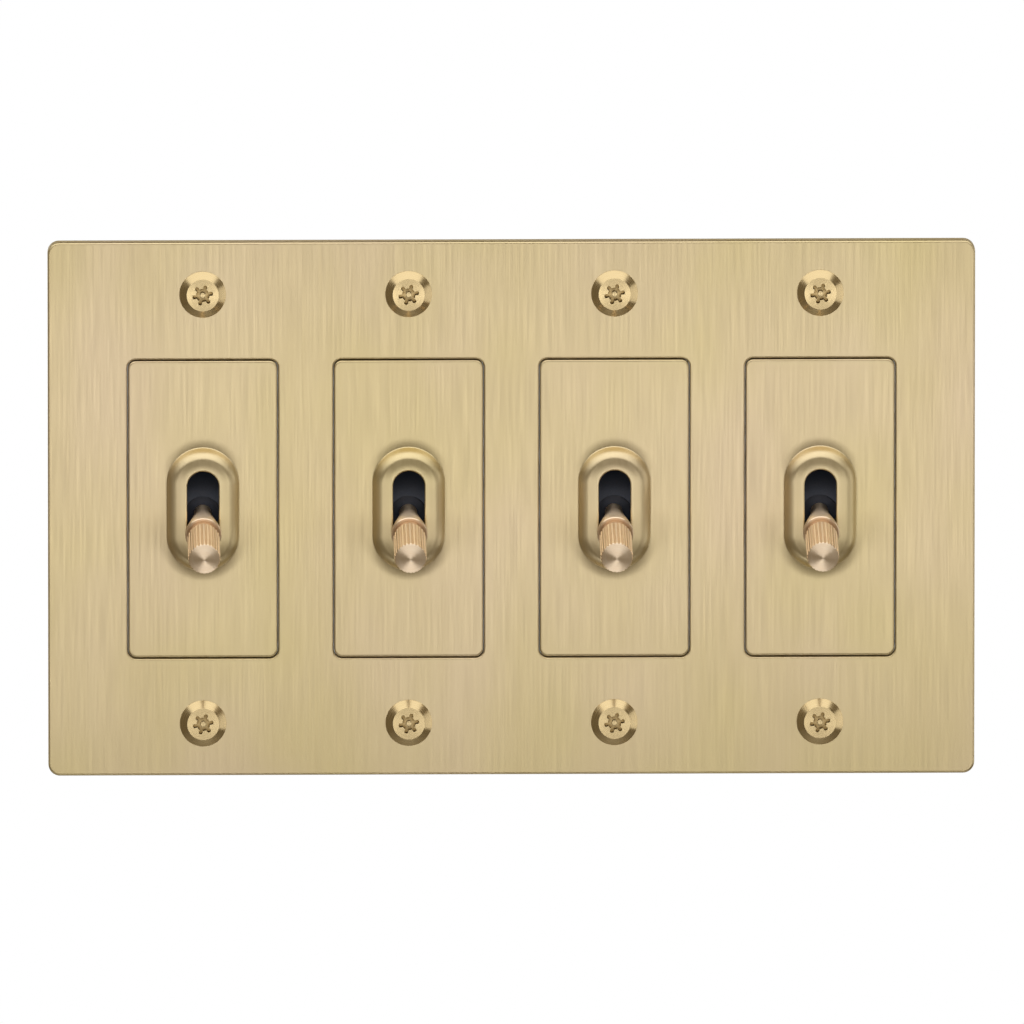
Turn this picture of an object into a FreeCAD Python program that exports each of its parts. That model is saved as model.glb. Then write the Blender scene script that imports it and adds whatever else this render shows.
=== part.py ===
import FreeCAD, Part
import math
import os
import re
import Sketcher

# Four-gang brass dolly switch for a wall box, in millimetres
#
# The origin is on the wall, at the middle of the plate. X runs along the row of gangs, Z is up and
# the front of the switch faces -Y. A level is a distance in front of the wall, so y = -level.
# Parts that swing are drawn about their own axis: Z along the lever, origin at its pivot.

GANGS = 4
NEAR = 1e-3  # how near an edge has to be to the place looked for

SIZES = {
    # Face plate
    "gang_pitch": 46.04,
    "gang_margin": 34.64,
    "plate_screw_spacing": 96.84,
    "screw_margin": 11.78,
    "plate_corner": 2.6,
    "plate_depth": 4.0,
    "plate_web": 2.2,
    "plate_rim": 3.6,
    "plate_edge_round": 0.5,
    "window_width": 33.8,
    "window_height": 67.5,
    "window_corner": 2.0,
    "window_edge_round": 0.4,
    # Insert plate with its boss
    "insert_clearance": 0.25,
    "boss_width": 16.8,
    "boss_length": 28.4,
    "boss_rise": 3.4,
    "boss_draft": 10.0,
    "boss_foot_round": 0.5,
    "boss_top_round": 2.9,
    "boss_wall": 2.8,
    "slot_width": 7.15,
    "slot_length": 17.9,
    "slot_edge_round": 0.25,
    "shield_pocket_width": 11.2,
    "shield_pocket_length": 19.6,
    "shield_pocket_corner": 3.0,
    # Dolly lever
    "pivot_depth": 12.0,
    "lever_tilt": 13.5,
    "stem_start": 3.2,
    "stem_radius": 2.0,
    "shoulder_start": 9.5,
    "collar_start": 19.4,
    "collar_radius": 4.05,
    "collar_thickness": 1.15,
    "groove_radius": 3.2,
    "groove_width": 1.75,
    "barrel_radius": 3.6,
    "barrel_length": 12.7,
    "barrel_edge": 0.35,
    "tip_rise": 0.73,
    "flute_count": 26,
    "flute_radius": 0.26,
    "flute_centre_lift": 0.08,
    # Cradle with its dust shield
    "shield_radius": 9.0,
    "shield_thickness": 1.2,
    "shield_half_angle": 75.0,
    "shield_width": 10.4,
    "shield_eye_radius": 4.4,
    "web_angle": 45.0,
    "web_thickness": 1.2,
    "hub_radius": 3.2,
    "hub_width": 10.6,
    "neck_radius": 3.9,
    "neck_end": 6.9,
    "stem_clearance": 0.03,
    "tail_radius": 2.9,
    "tail_length": 6.5,
    "spring_seat": 2.0,
    # Pivot pin
    "pin_radius": 1.0,
    "pin_clearance": 0.05,
    "pin_seat_clearance": 0.02,
    # Plunger and its spring
    "plunger_radius": 1.5,
    "plunger_clearance": 0.08,
    "plunger_reach": 9.0,
    "plunger_start": 4.6,
    "plunger_nose_flat": 0.02,
    "spring_wire_radius": 0.2,
    "spring_coil_radius": 1.2,
    "spring_pitch": 0.6,
    "spring_end_gap": 0.05,
    # Rocking contact bridge
    "plunger_gap": 0.15,
    "bridge_thickness": 0.8,
    "bridge_width": 5.0,
    "bridge_slope": 10.0,
    "bridge_swing": 6.0,
    "bridge_half_length": 9.4,
    "cheek_thickness": 0.6,
    "cheek_half_height": 2.0,
    "fulcrum_radius": 1.0,
    "fulcrum_clearance": 0.1,
    "contact_radius": 1.5,
    "contact_thickness": 0.8,
    "contact_offset": 7.8,
    "contact_gap": 0.25,
    # Terminals
    "terminal_thickness": 1.0,
    "terminal_width": 5.0,
    "terminal_pad_height": 11.2,
    "terminal_pad_front": 14.9,
    "terminal_slot_clearance": 0.1,
    "fixed_contact_thickness": 0.7,
    "traveller_screw_offset": 12.6,
    "common_screw_offset": 5.9,
    "common_bar_from_back": 4.0,
    "common_reach": 3.3,
    "anvil_width": 5.0,
    # Housing and cover
    "housing_width": 31.0,
    "housing_height": 44.0,
    "housing_depth": 14.0,
    "cover_depth": 12.0,
    "housing_wall": 2.2,
    "case_corner": 1.6,
    "case_edge_round": 0.8,
    "housing_front_wall": 2.0,
    "housing_opening_width": 12.4,
    "housing_opening_height": 24.4,
    "rib_gap": 0.4,
    "rib_thickness": 2.8,
    "rib_half_height": 4.5,
    "rib_depth": 13.0,
    "post_width": 5.9,
    "post_height": 5.8,
    "cut_overrun": 1.0,
    # Yoke
    "yoke_thickness": 1.6,
    "yoke_lap": 1.6,
    "yoke_end": 4.58,
    "yoke_ear_width": 38.0,
    "yoke_ear_height": 13.0,
    "yoke_neck_width": 20.0,
    "yoke_corner": 2.0,
    "yoke_window_height": 20.4,
    "box_screw_inset": 6.75,
    "box_slot_length": 7.0,
    "box_slot_width": 4.0,
    # Fasteners
    "plate_screw_hole_radius": 1.9,
    "plate_screw_thread_radius": 1.7,
    "thread_clearance": 0.05,
    "plate_screw_length": 10.0,
    "screw_head_radius": 5.2,
    "screw_disc_radius": 3.6,
    "screw_head_height": 1.5,
    "screw_head_edge": 0.15,
    "recess_depth": 1.2,
    "recess_core_radius": 1.45,
    "recess_lobe_radius": 0.45,
    "recess_lobe_offset": 1.85,
    "recess_lobe_count": 6,
    "recess_pin_radius": 0.6,
    "recess_turn": 12.0,
    "screw_edge": 0.35,
    "binding_head_radius": 3.4,
    "binding_head_height": 1.8,
    "binding_shank_radius": 1.65,
    "binding_shank_length": 4.6,
    "binding_slot_width": 0.9,
    "binding_slot_depth": 0.9,
    "binding_wire_gap": 0.3,
    "ground_screw_across": -7.0,
    "ground_screw_up": -30.0,
    "body_screw_side_inset": 3.5,
    "body_screw_end_inset": 3.4,
    "body_screw_radius": 1.15,
    "body_screw_clearance": 0.2,
    "body_screw_head_radius": 2.2,
    "body_screw_head_height": 1.5,
    "body_screw_bite": 1.3,
}

# Sizes that follow from others, as formulas of the sheet
DERIVED = {
    "plate_width": f"{GANGS - 1} * gang_pitch + 2 * gang_margin",
    "plate_height": "plate_screw_spacing + 2 * screw_margin",
    "yoke_length": "plate_screw_spacing + 2 * yoke_end",
    "yoke_body_width": "window_width + 2 * yoke_lap",
    "yoke_body_height": "window_height + 2 * yoke_lap",
    "box_screw_spacing": "plate_screw_spacing - 2 * box_screw_inset",
    "insert_thickness": "plate_depth - yoke_thickness",
    "insert_width": "window_width - 2 * insert_clearance",
    "insert_height": "window_height - 2 * insert_clearance",
    "boss_level": "plate_depth + boss_rise",
    "pivot_behind_wall": "pivot_depth - plate_depth",
    "collar_end": "collar_start + collar_thickness",
    "barrel_start": "collar_end + groove_width",
    "barrel_end": "barrel_start + barrel_length",
    "rib_inner": "hub_width / 2 + rib_gap",
    "rib_outer": "rib_inner + rib_thickness",
    "bridge_front": "bridge_thickness + fulcrum_clearance + fulcrum_radius",
    "fulcrum_reach": "plunger_reach + plunger_gap + bridge_front",
    "fulcrum_behind_wall": "pivot_behind_wall + fulcrum_reach",
    "contact_lift": "contact_offset * sin(bridge_swing)",
    "contact_back": "bridge_front + contact_offset * tan(bridge_slope)"
                    " - bridge_thickness / cos(bridge_slope) - contact_thickness",
    "fixed_contact_front": "fulcrum_behind_wall - contact_back + contact_lift + contact_gap",
    "traveller_front": "fixed_contact_front + fixed_contact_thickness",
    "case_depth": "housing_depth + cover_depth",
    "common_bar_depth": "case_depth - common_bar_from_back",
    "terminal_pad_back": "common_bar_depth + terminal_thickness",
    "case_side": "housing_width / 2",
    "case_inner_side": "case_side - housing_wall",
    "case_inner_top": "housing_height / 2 - housing_wall",
    "terminal_pad_middle": "(terminal_pad_front + terminal_pad_back) / 2",
    "body_screw_across": "case_side - body_screw_side_inset",
    "body_screw_up": "housing_height / 2 - body_screw_end_inset",
}

doc = FreeCAD.newDocument("DollySwitch")
sheet = doc.addObject("Spreadsheet::Sheet", "Sizes")


def fill_sheet():
    """One row for each size: its name, then its value or formula under that name."""
    for row, (name, value) in enumerate([*SIZES.items(), *DERIVED.items()], start=1):
        sheet.set(f"A{row}", name.replace("_", " "))
        sheet.set(f"B{row}", f"={value}" if name in DERIVED else str(value))
        sheet.setAlias(f"B{row}", name)
    doc.recompute()


def number(expression):
    """The value that an expression of the sizes has now."""
    return float(sheet.evalExpression(expression))


def tied(expression):
    """The same expression as another object of the document has to write it."""
    known = {**SIZES, **DERIVED}
    return re.sub(
        r"[a-z][a-z_]*",
        lambda word: f"Sizes.{word.group()}" if word.group() in known else word.group(),
        expression,
    )


def tie(item, prop, expression):
    item.setExpression(prop, tied(expression))


def new_body(name):
    body = doc.addObject("PartDesign::Body", name)
    body.Label = name
    return body


def new_sketch(body, role, level="0"):
    """A sketch on one of the body's own origin planes, moved along that plane's normal."""
    sketch = body.newObject("Sketcher::SketchObject", f"{body.Name}_sketch")
    plane = next(item for item in body.Origin.OriginFeatures if item.Role == role)
    sketch.AttachmentSupport = [(plane, "")]
    sketch.MapMode = "FlatFace"
    if level != "0":
        tie(sketch, "AttachmentOffset.Base.z", level)
    return sketch


def hold(sketch, item, point, across, up):
    """Ties one point of the sketch to its distances from the sketch's origin."""
    for kind, axis, expression in (("DistanceX", -2, across), ("DistanceY", -1, up)):
        if expression == "0":
            sketch.addConstraint(Sketcher.Constraint("PointOnObject", item, point, axis))
            continue
        rule = Sketcher.Constraint(kind, -1, 1, item, point, number(expression))
        tie(sketch, f"Constraints[{sketch.addConstraint(rule)}]", expression)


def polygon(sketch, corners):
    """A closed run of straight lines through corners given as pairs of expressions."""
    spots = [FreeCAD.Vector(number(across), number(up), 0) for across, up in corners]
    first = sketch.GeometryCount
    ends = spots[1:] + spots[:1]
    sketch.addGeometry([Part.LineSegment(*pair) for pair in zip(spots, ends)], False)
    for index, (across, up) in enumerate(corners):
        before = first + (index - 1) % len(corners)
        sketch.addConstraint(Sketcher.Constraint("Coincident", before, 2, first + index, 1))
        hold(sketch, first + index, 1, across, up)


def circle(sketch, radius, across="0", up="0"):
    centre = FreeCAD.Vector(number(across), number(up), 0)
    ring = Part.Circle(centre, FreeCAD.Vector(0, 0, 1), number(radius))
    item = sketch.addGeometry(ring, False)
    hold(sketch, item, 3, across, up)
    rule = sketch.addConstraint(Sketcher.Constraint("Radius", item, number(radius)))
    tie(sketch, f"Constraints[{rule}]", radius)


def rounded(sketch, radius, centres):
    """The outline round equal corner circles, given anticlockwise from the right-hand one."""
    spots = [FreeCAD.Vector(number(across), number(up), 0) for across, up in centres]
    size = number(radius)
    first = sketch.GeometryCount
    count = len(spots)
    starts = []
    for here, there in zip(spots, spots[1:] + spots[:1]):
        run = there - here
        starts.append(math.atan2(-run.x, run.y))
    for index, spot in enumerate(spots):
        begin = starts[index - 1]
        end = starts[index]
        while end <= begin:
            end += 2 * math.pi
        ring = Part.Circle(spot, FreeCAD.Vector(0, 0, 1), size)
        sketch.addGeometry(Part.ArcOfCircle(ring, begin, end), False)
    for index, (here, there) in enumerate(zip(spots, spots[1:] + spots[:1])):
        out = FreeCAD.Vector(math.cos(starts[index]), math.sin(starts[index]), 0) * size
        sketch.addGeometry(Part.LineSegment(here + out, there + out), False)
    for index, (across, up) in enumerate(centres):
        arc = first + index
        line = first + count + index
        after = first + (index + 1) % count
        sketch.addConstraint(Sketcher.Constraint("Tangent", arc, 2, line, 1))
        sketch.addConstraint(Sketcher.Constraint("Tangent", line, 2, after, 1))
        hold(sketch, arc, 3, across, up)
        if index:
            sketch.addConstraint(Sketcher.Constraint("Equal", first, arc))
    rule = sketch.addConstraint(Sketcher.Constraint("Radius", first, size))
    tie(sketch, f"Constraints[{rule}]", radius)


def rectangle(sketch, width, height, radius, across="0", up="0"):
    """A rectangle with round corners about a centre."""
    right = f"{across} + ({width}) / 2 - ({radius})"
    left = f"{across} - ({width}) / 2 + ({radius})"
    top = f"{up} + ({height}) / 2 - ({radius})"
    low = f"{up} - ({height}) / 2 + ({radius})"
    rounded(sketch, radius, [(right, low), (right, top), (left, top), (left, low)])


def obround(sketch, width, length, across="0", up="0"):
    """An upright slot outline: two half circles joined by two lines."""
    run = f"(({length}) - ({width})) / 2"
    rounded(sketch, f"({width}) / 2", [(across, f"{up} - {run}"), (across, f"{up} + {run}")])


def flat_obround(sketch, width, length, across, up):
    """A slot outline that lies along the sketch's own X."""
    run = f"(({length}) - ({width})) / 2"
    rounded(sketch, f"({width}) / 2", [(f"{across} + {run}", up), (f"{across} - {run}", up)])


def pad(body, sketch, length, reverse=False, both=False, taper=None):
    feature = body.newObject("PartDesign::Pad", f"{body.Name}_pad")
    feature.Profile = sketch
    feature.Reversed = reverse
    feature.Midplane = both
    tie(feature, "Length", length)
    if taper:
        tie(feature, "TaperAngle", taper)
    body.Tip = feature
    return feature


def pocket(body, sketch, length, reverse=False):
    """A cut away from the sketch's normal, or along it when reversed."""
    feature = body.newObject("PartDesign::Pocket", f"{body.Name}_pocket")
    feature.Profile = sketch
    feature.Reversed = reverse
    tie(feature, "Length", length)
    body.Tip = feature
    return feature


def turn(body, corners):
    """A turned solid: the outline is given as radius and height along Z."""
    sketch = new_sketch(body, "XZ_Plane")
    polygon(sketch, corners)
    feature = body.newObject("PartDesign::Revolution", f"{body.Name}_turn")
    feature.Profile = sketch
    feature.ReferenceAxis = (sketch, ["V_Axis"])
    feature.Angle = 360
    body.Tip = feature
    return feature


def ring_pattern(body, original, sketch, count):
    """Repeats a cut evenly round the normal of its own sketch."""
    feature = body.newObject("PartDesign::PolarPattern", f"{body.Name}_ring")
    feature.Originals = [original]
    feature.Axis = (sketch, ["N_Axis"])
    feature.Angle = 360
    tie(feature, "Occurrences", count)
    body.Tip = feature
    return feature


def soften(body, radius, chosen):
    """Rounds the edges of the body's last feature that a test picks out."""
    doc.recompute()
    base = body.Tip
    names = [f"Edge{i}" for i, edge in enumerate(base.Shape.Edges, start=1) if chosen(edge)]
    feature = body.newObject("PartDesign::Fillet", f"{body.Name}_round")
    feature.Base = (base, names)
    tie(feature, "Radius", radius)
    body.Tip = feature
    return feature


def at_level(level, half_width, half_height, inside=True):
    """Picks edges at a level in front of the wall, within a half width and height or beyond them."""
    def chosen(edge):
        box = edge.BoundBox
        flat = max(abs(box.YMin + level), abs(box.YMax + level)) < NEAR
        across = max(-box.XMin, box.XMax)
        up = max(-box.ZMin, box.ZMax)
        within = across < half_width and up < half_height
        return flat and within == inside
    return chosen


def block(name, width, height, depth, across, up, behind):
    """A box about a middle X and Z, from a depth behind the wall further back."""
    item = doc.addObject("Part::Box", name)
    tie(item, "Length", width)
    tie(item, "Width", depth)
    tie(item, "Height", height)
    tie(item, "Placement.Base.x", f"{across} - ({width}) / 2")
    tie(item, "Placement.Base.y", behind)
    tie(item, "Placement.Base.z", f"{up} - ({height}) / 2")
    return item


AXES = {
    "x": FreeCAD.Rotation(FreeCAD.Vector(0, 1, 0), 90),
    "y": FreeCAD.Rotation(FreeCAD.Vector(1, 0, 0), -90),
    "z": FreeCAD.Rotation(),
}


def rod(name, radius, length, axis, across="0", back="0", up="0"):
    """A cylinder that starts at a point and runs along X, Y or Z."""
    item = doc.addObject("Part::Cylinder", name)
    item.Placement = FreeCAD.Placement(FreeCAD.Vector(), AXES[axis])
    tie(item, "Radius", radius)
    tie(item, "Height", length)
    tie(item, "Placement.Base.x", across)
    tie(item, "Placement.Base.y", back)
    tie(item, "Placement.Base.z", up)
    return item


def fuse(name, items):
    item = doc.addObject("Part::MultiFuse", name)
    item.Shapes = items
    item.Refine = True
    return item


def cut(name, base, tools):
    item = doc.addObject("Part::Cut", name)
    item.Base = base
    item.Tool = tools[0] if len(tools) == 1 else fuse(f"{name}_tools", tools)
    item.Refine = True
    return item


def gang_across(gang):
    """How far a gang stands to the right of the plate's middle, as an expression."""
    return f"gang_pitch * ({gang - (GANGS + 1) / 2})"


def place_gang(item, gang, behind="0", tilt=None):
    """Moves a finished piece to its gang, tilting it about X first."""
    if tilt is not None:
        turned = FreeCAD.Rotation(FreeCAD.Vector(1, 0, 0), 90)
        item.Placement = FreeCAD.Placement(FreeCAD.Vector(), turned)
        tie(item, "Placement.Rotation.Angle", tilt)
    tie(item, "Placement.Base.x", gang_across(gang))
    tie(item, "Placement.Base.y", behind)


def make_face_plate():
    body = new_body("face_plate")
    outline = new_sketch(body, "XZ_Plane")
    rectangle(outline, "plate_width", "plate_height", "plate_corner")
    pad(body, outline, "plate_depth")
    back = new_sketch(body, "XZ_Plane", "plate_depth - plate_web")
    inner_width = "plate_width - 2 * plate_rim"
    inner_height = "plate_height - 2 * plate_rim"
    rectangle(back, inner_width, inner_height, "plate_corner")
    pocket(body, back, "plate_depth - plate_web")
    windows = new_sketch(body, "XZ_Plane", "plate_depth")
    holes = new_sketch(body, "XZ_Plane", "plate_depth")
    for gang in range(1, GANGS + 1):
        across = gang_across(gang)
        rectangle(windows, "window_width", "window_height", "window_corner", across)
        for up in ("plate_screw_spacing / 2", "-plate_screw_spacing / 2"):
            circle(holes, "plate_screw_hole_radius", across, up)
    pocket(body, windows, "plate_depth")
    pocket(body, holes, "plate_depth")
    front = number("plate_depth")
    inner = (number(inner_width) / 2, number(inner_height) / 2)
    soften(body, "plate_edge_round", at_level(front, *inner, inside=False))
    window_top = number("window_height / 2 + window_edge_round")
    soften(body, "window_edge_round", at_level(front, number("plate_width") / 2, window_top))
    return body


def make_insert_plate(gang):
    """Flush plate, boss with drafted sides and round foot and shoulder, slot and shield pocket."""
    body = new_body(f"insert_plate_{gang}")
    outline = new_sketch(body, "XZ_Plane", "yoke_thickness")
    rectangle(outline, "insert_width", "insert_height", "window_corner - insert_clearance")
    pad(body, outline, "insert_thickness")
    foot = new_sketch(body, "XZ_Plane", "plate_depth")
    spread = "2 * boss_foot_round * tan((90 - boss_draft) / 2)"
    obround(foot, f"boss_width - {spread}", f"boss_length - {spread}")
    pad(body, foot, "boss_rise", taper="-boss_draft")
    half_width = number("boss_width") / 2
    half_length = number("boss_length") / 2
    soften(body, "boss_foot_round", at_level(number("plate_depth"), half_width, half_length))
    soften(body, "boss_top_round", at_level(number("boss_level"), half_width, half_length))
    cavity = new_sketch(body, "XZ_Plane", "boss_level - boss_wall")
    rectangle(cavity, "shield_pocket_width", "shield_pocket_length", "shield_pocket_corner")
    pocket(body, cavity, "boss_level - boss_wall - yoke_thickness")
    slot = new_sketch(body, "XZ_Plane", "boss_level")
    obround(slot, "slot_width", "slot_length")
    pocket(body, slot, "boss_wall")
    screws = new_sketch(body, "XZ_Plane", "yoke_thickness")
    for across in ("body_screw_across", "-body_screw_across"):
        for up in ("body_screw_up", "-body_screw_up"):
            circle(screws, "body_screw_radius + thread_clearance", across, up)
    pocket(body, screws, "body_screw_bite + body_screw_clearance", reverse=True)
    slot_side = number("slot_width / 2 + slot_edge_round")
    slot_end = number("slot_length / 2 + slot_edge_round")
    soften(body, "slot_edge_round", at_level(number("boss_level"), slot_side, slot_end))
    side = number("insert_width / 2 - window_corner")
    top = number("insert_height / 2 - window_corner")
    soften(body, "window_edge_round", at_level(number("plate_depth"), side, top, inside=False))
    place_gang(body, gang)
    return body


def make_lever(gang):
    """Turned dolly: stem, coned shoulder, collar, groove, fluted barrel and shallow coned tip."""
    body = new_body(f"lever_{gang}")
    turn(body, [
        ("0", "stem_start"),
        ("stem_radius", "stem_start"),
        ("stem_radius", "shoulder_start"),
        ("collar_radius", "collar_start"),
        ("collar_radius", "collar_end"),
        ("groove_radius", "collar_end"),
        ("groove_radius", "barrel_start"),
        ("barrel_radius - barrel_edge", "barrel_start"),
        ("barrel_radius", "barrel_start + barrel_edge"),
        ("barrel_radius", "barrel_end - barrel_edge"),
        ("barrel_radius - barrel_edge", "barrel_end"),
        ("0", "barrel_end + tip_rise"),
    ])
    flute = new_sketch(body, "XY_Plane", "barrel_start")
    circle(flute, "flute_radius", "barrel_radius + flute_centre_lift")
    groove = pocket(body, flute, "barrel_length", reverse=True)
    ring_pattern(body, groove, flute, "flute_count")
    place_gang(body, gang, "pivot_behind_wall", "90 + lever_tilt")
    return body


def make_cradle(gang):
    """Moulded rocker that grips the lever, carries the dust shield and guides the plunger."""
    body = new_body(f"cradle_{gang}")
    shield = new_sketch(body, "YZ_Plane")
    arc_band(shield, "(shield_radius - shield_thickness)", "shield_radius", "shield_half_angle")
    pad(body, shield, "shield_width", both=True)
    hub = new_sketch(body, "YZ_Plane")
    circle(hub, "hub_radius")
    pad(body, hub, "hub_width", both=True)
    neck = new_sketch(body, "XY_Plane")
    circle(neck, "neck_radius")
    pad(body, neck, "neck_end")
    web = new_sketch(body, "YZ_Plane")
    end_across = "shield_radius * sin(web_angle)"
    end_up = "shield_radius * cos(web_angle) - shield_thickness / 2"
    polygon(web, [
        ("-neck_radius", "hub_radius"),
        ("neck_radius", "hub_radius"),
        (end_across, end_up),
        ("0", "shield_radius - shield_thickness / 2"),
        (f"-{end_across}", end_up),
    ])
    pad(body, web, "web_thickness", both=True)
    tail = new_sketch(body, "XY_Plane")
    circle(tail, "tail_radius")
    pad(body, tail, "tail_length", reverse=True)
    eye = new_sketch(body, "XY_Plane", "neck_end")
    circle(eye, "shield_eye_radius")
    pocket(body, eye, "shield_radius", reverse=True)
    bore = new_sketch(body, "XY_Plane", "stem_start")
    circle(bore, "stem_radius + stem_clearance")
    pocket(body, bore, "shield_radius", reverse=True)
    guide = new_sketch(body, "XY_Plane", "-spring_seat")
    circle(guide, "plunger_radius + plunger_clearance")
    pocket(body, guide, "tail_length")
    pin = new_sketch(body, "YZ_Plane", "hub_width / 2")
    circle(pin, "pin_radius + pin_clearance")
    pocket(body, pin, "hub_width")
    place_gang(body, gang, "pivot_behind_wall", "90 + lever_tilt")
    return body


def arc_band(sketch, inner, outer, half_angle):
    """A ring segment about the sketch's origin, symmetric about its Y."""
    low = math.radians(90 - number(half_angle))
    high = math.radians(90 + number(half_angle))
    normal = FreeCAD.Vector(0, 0, 1)
    rings = [Part.Circle(FreeCAD.Vector(), normal, number(size)) for size in (outer, inner)]
    arcs = [Part.ArcOfCircle(ring, low, high) for ring in rings]
    sketch.addGeometry(arcs, False)
    sketch.addGeometry(Part.LineSegment(*[arc.StartPoint for arc in arcs]), False)
    sketch.addGeometry(Part.LineSegment(*[arc.EndPoint for arc in arcs]), False)
    for item, size in ((0, outer), (1, inner)):
        sketch.addConstraint(Sketcher.Constraint("Coincident", item, 3, -1, 1))
        rule = sketch.addConstraint(Sketcher.Constraint("Radius", item, number(size)))
        tie(sketch, f"Constraints[{rule}]", size)
    for line, point in ((2, 1), (3, 2)):
        sketch.addConstraint(Sketcher.Constraint("Coincident", 0, point, line, 1))
        sketch.addConstraint(Sketcher.Constraint("Coincident", 1, point, line, 2))
    side = f"sin({half_angle})"
    for item, size in ((0, outer), (1, inner)):
        for point, sign in ((1, ""), (2, "-")):
            reach = f"{sign}{size} * {side}"
            rule = Sketcher.Constraint("DistanceX", -1, 1, item, point, number(reach))
            tie(sketch, f"Constraints[{sketch.addConstraint(rule)}]", reach)


def make_pivot_pin(gang):
    name = f"pivot_pin_{gang}"
    pin = rod(name, "pin_radius - pin_seat_clearance", "2 * rib_outer", "x")
    pin.Label = name
    tie(pin, "Placement.Base.x", f"{gang_across(gang)} - rib_outer")
    tie(pin, "Placement.Base.y", "pivot_behind_wall")
    return pin


def make_plunger(gang):
    body = new_body(f"plunger_{gang}")
    shank = new_sketch(body, "XY_Plane", "-plunger_start")
    circle(shank, "plunger_radius")
    pad(body, shank, "plunger_reach - plunger_start", reverse=True)
    nose = -number("plunger_reach")

    def at_nose(edge):
        return max(abs(edge.BoundBox.ZMin - nose), abs(edge.BoundBox.ZMax - nose)) < NEAR

    soften(body, "plunger_radius - plunger_nose_flat", at_nose)
    place_gang(body, gang, "pivot_behind_wall", "90 + lever_tilt")
    return body


def make_spring(gang):
    """Open coil between the closed end of the cradle's guide and the plunger."""
    name = f"plunger_spring_{gang}"
    low = "-plunger_start + spring_wire_radius + spring_end_gap"
    path = doc.addObject("Part::Helix", f"{name}_path")
    tie(path, "Pitch", "spring_pitch")
    tie(path, "Height", f"-spring_seat - spring_wire_radius - spring_end_gap - ({low})")
    tie(path, "Radius", "spring_coil_radius")
    tie(path, "Placement.Base.z", low)
    ring = doc.addObject("Part::Circle", f"{name}_wire")
    upright = FreeCAD.Rotation(FreeCAD.Vector(1, 0, 0), 90)
    ring.Placement = FreeCAD.Placement(FreeCAD.Vector(), upright)
    tie(ring, "Radius", "spring_wire_radius")
    tie(ring, "Placement.Base.x", "spring_coil_radius")
    tie(ring, "Placement.Base.z", low)
    coil = doc.addObject("Part::Sweep", name)
    coil.Label = name
    coil.Sections = [ring]
    coil.Spine = (path, ["Edge1"])
    coil.Solid = True
    coil.Frenet = True
    place_gang(coil, gang, "pivot_behind_wall", "90 + lever_tilt")
    return coil


def make_bridge(gang):
    """V-shaped contact bridge with cheeks that ride the fulcrum and a contact at each end."""
    body = new_body(f"contact_bridge_{gang}")
    strip = new_sketch(body, "YZ_Plane")
    rise = "tan(bridge_slope)"
    back = "bridge_front - bridge_thickness / cos(bridge_slope)"
    end = "bridge_half_length"
    polygon(strip, [
        ("-bridge_front", "0"),
        (f"-bridge_front - {end} * {rise}", end),
        (f"-({back}) - {end} * {rise}", end),
        (f"-({back})", "0"),
        (f"-({back}) - {end} * {rise}", f"-{end}"),
        (f"-bridge_front - {end} * {rise}", f"-{end}"),
    ])
    pad(body, strip, "bridge_width", both=True)
    for side in ("", "-"):
        cheek = new_sketch(body, "YZ_Plane", f"{side}bridge_width / 2")
        up = "cheek_half_height"
        polygon(cheek, [
            ("-bridge_front", f"-{up}"),
            ("0", f"-{up}"),
            ("0", up),
            ("-bridge_front", up),
        ])
        pad(body, cheek, "cheek_thickness", reverse=side == "-")
    notch = new_sketch(body, "YZ_Plane", "bridge_width")
    circle(notch, "fulcrum_radius + fulcrum_clearance")
    pocket(body, notch, "2 * bridge_width")
    for side in ("", "-"):
        rivet = new_sketch(body, "XZ_Plane", "contact_back")
        circle(rivet, "contact_radius", "0", f"{side}contact_offset")
        pad(body, rivet, "contact_thickness + bridge_thickness / 2")
    place_gang(body, gang, "fulcrum_behind_wall", "-bridge_swing")
    return body


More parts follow.
